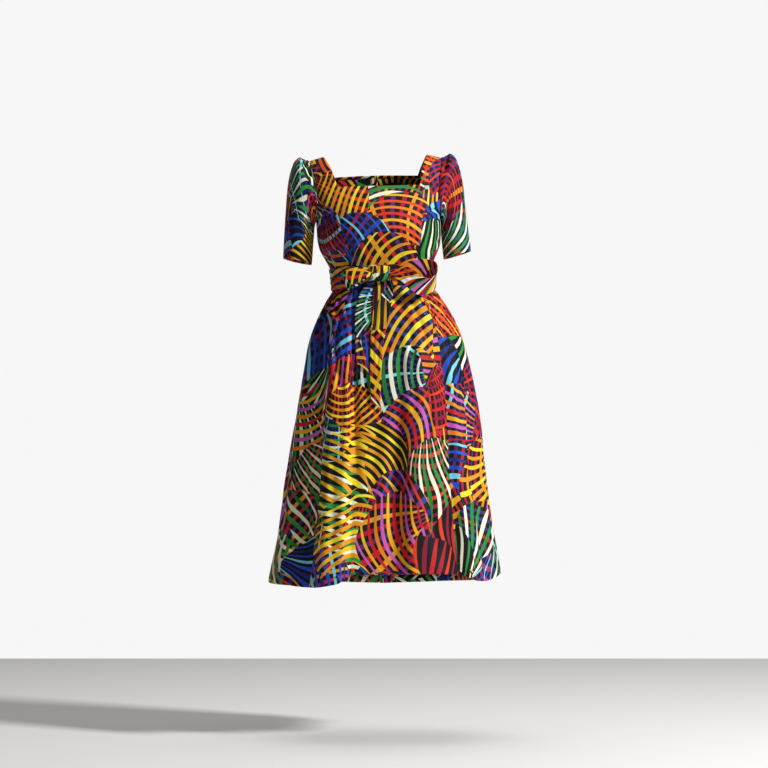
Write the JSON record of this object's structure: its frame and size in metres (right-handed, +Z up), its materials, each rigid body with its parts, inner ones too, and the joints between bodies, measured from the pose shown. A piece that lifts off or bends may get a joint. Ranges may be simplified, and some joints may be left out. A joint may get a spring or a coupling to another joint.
{
  "type": "ankara wax print dress",
  "caption": "Midi dress in wax print cotton, square neck, short gathered sleeves, princess seams, flared gored skirt and a tied bow sash, in its worn shape.",
  "frame": {"origin": "midway between the two shoulder straps, at the height where they rest on the shoulders", "axes": "+Z up along the standing wearer, -Y out of the front of the dress, +X to the right as seen from the front"},
  "size_m": [0.5976, 0.4674, 1.1189],
  "materials": {
    "wax_print_cotton": "woven cotton with a wax print on black, matte with a faint sheen",
    "wax_print_sash": "the same woven wax print cotton, cut as a sash"
  },
  "bodies": {
    "root": {"bodice_front_centre": "wax_print_cotton", "bodice_front_side_left": "wax_print_cotton", "bodice_front_side_right": "wax_print_cotton", "bodice_back_left": "wax_print_cotton", "bodice_back_right": "wax_print_cotton", "sleeve_left": "wax_print_cotton", "sleeve_right": "wax_print_cotton", "skirt_front_centre": "wax_print_cotton", "skirt_front_side_left": "wax_print_cotton", "skirt_front_side_right": "wax_print_cotton", "skirt_back_left": "wax_print_cotton", "skirt_back_right": "wax_print_cotton", "sash_band": "wax_print_sash", "bow_knot": "wax_print_sash", "bow_loop_left": "wax_print_sash", "bow_loop_right": "wax_print_sash", "bow_tail_front": "wax_print_sash", "bow_tail_side": "wax_print_sash"}
  },
  "joints": []
}
